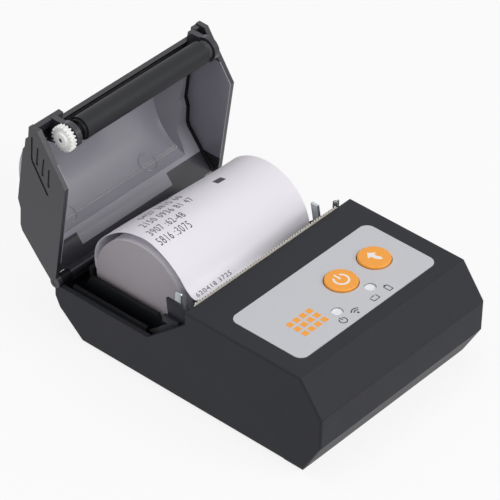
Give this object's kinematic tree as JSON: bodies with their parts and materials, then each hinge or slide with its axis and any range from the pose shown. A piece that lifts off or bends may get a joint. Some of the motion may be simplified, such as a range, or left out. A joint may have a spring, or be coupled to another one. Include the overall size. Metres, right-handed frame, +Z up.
{
  "type": "portable thermal printer",
  "caption": "Pocket thermal receipt printer with a hinged roll cover, driven platen, print head, tear bar, keypad with push keys and a loose paper sheet.",
  "frame": {"origin": "centre of the underside at the level of the feet", "axes": "+X to the right seen from the keypad end, +Y towards the hinge, +Z up"},
  "size_m": [0.076, 0.128, 0.0717],
  "materials": {
    "housing_black": "fine matte texture",
    "cover_smoke": "smoked grey plastic, satin inside",
    "dark_plastic": "matte",
    "keypad_grey": "satin film",
    "key_orange": "satin",
    "lens_white": "satin",
    "paper_white": "smooth thermal paper",
    "rubber_black": "matte rubber",
    "gear_white": "satin acetal",
    "bush_grey": "satin",
    "steel": "bright",
    "zinc": "zinc plated",
    "aluminium": "mill finish",
    "ceramic": "glazed",
    "board_green": "solder mask",
    "battery_wrap": "shrink film",
    "gold": "bright",
    "cable_amber": "polyimide film"
  },
  "bodies": {
    "base": {"lower_housing": "housing_black", "upper_housing": "housing_black", "paper_tray": "dark_plastic", "hinge_pins": "steel", "rubber_feet": "rubber_black", "housing_screws": "steel", "door_screw": "steel", "battery_pack": "battery_wrap", "battery_door": "housing_black", "battery_contacts": "gold", "print_head_frame": "dark_plastic", "thermal_head": "ceramic", "heat_sink": "aluminium", "head_springs": "steel", "head_bracket_left": "zinc", "head_bracket_right": "zinc", "stepper_motor": "zinc", "motor_plate": "zinc", "idler_shaft": "steel", "tear_bar": "steel", "gear_guard": "dark_plastic", "paper_sensor": "dark_plastic", "head_cable": "cable_amber", "mechanism_screws": "steel", "main_board": "board_green", "keypad_board": "board_green", "tact_switches": "dark_plastic", "status_leds": "lens_white", "light_pipes": "lens_white", "charging_socket": "steel", "radio_module": "zinc", "board_screws": "steel", "keypad_overlay": "keypad_grey", "paper_strip": "paper_white"},
    "cover": {"top_cover": "cover_smoke", "platen_bush_left": "bush_grey", "platen_bush_right": "bush_grey"},
    "platen": {"platen_shaft": "steel", "platen_roller": "rubber_black", "platen_collar": "dark_plastic", "platen_gear": "gear_white"},
    "roll": {"paper_roll": "paper_white"},
    "idler": {"idler_gear": "gear_white"},
    "pinion": {"motor_shaft": "steel", "motor_pinion": "gear_white"},
    "power_key": {"power_button": "key_orange"},
    "feed_key": {"feed_button": "key_orange"}
  },
  "joints": [
    {"name": "cover_hinge", "type": "hinge", "parent": "base", "child": "cover", "pos_m": [0, 0.0526, 0.01745], "axis": [1, 0, 0], "range_deg": [0, 83], "deforming": ["paper_strip"]},
    {"name": "platen_spin", "type": "hinge", "parent": "cover", "child": "platen", "pos_m": [0, 0.05427, 0.06743], "axis": [1, 0, 0], "continuous": true},
    {"name": "roll_spin", "type": "hinge", "parent": "base", "child": "roll", "pos_m": [0, 0.026, 0.0224], "axis": [1, 0, 0], "continuous": true},
    {"name": "idler_spin", "type": "hinge", "parent": "base", "child": "idler", "pos_m": [0, -0.0026, 0.0174], "axis": [1, 0, 0], "continuous": true},
    {"name": "motor_spin", "type": "hinge", "parent": "base", "child": "pinion", "pos_m": [0, -0.01025, 0.01475], "axis": [1, 0, 0], "continuous": true},
    {"name": "power_press", "type": "slide", "parent": "base", "child": "power_key", "axis": [0, 0, -1], "range_m": [0, 0.0004], "stiffness_N_per_m": 400, "springref_m": -0.0002},
    {"name": "feed_press", "type": "slide", "parent": "base", "child": "feed_key", "axis": [0, 0, -1], "range_m": [0, 0.0004], "stiffness_N_per_m": 400, "springref_m": -0.0002}
  ],
  "couplings": [
    {"joint": "motor_spin", "follows": "idler_spin", "ratio": -2.3333}
  ]
}
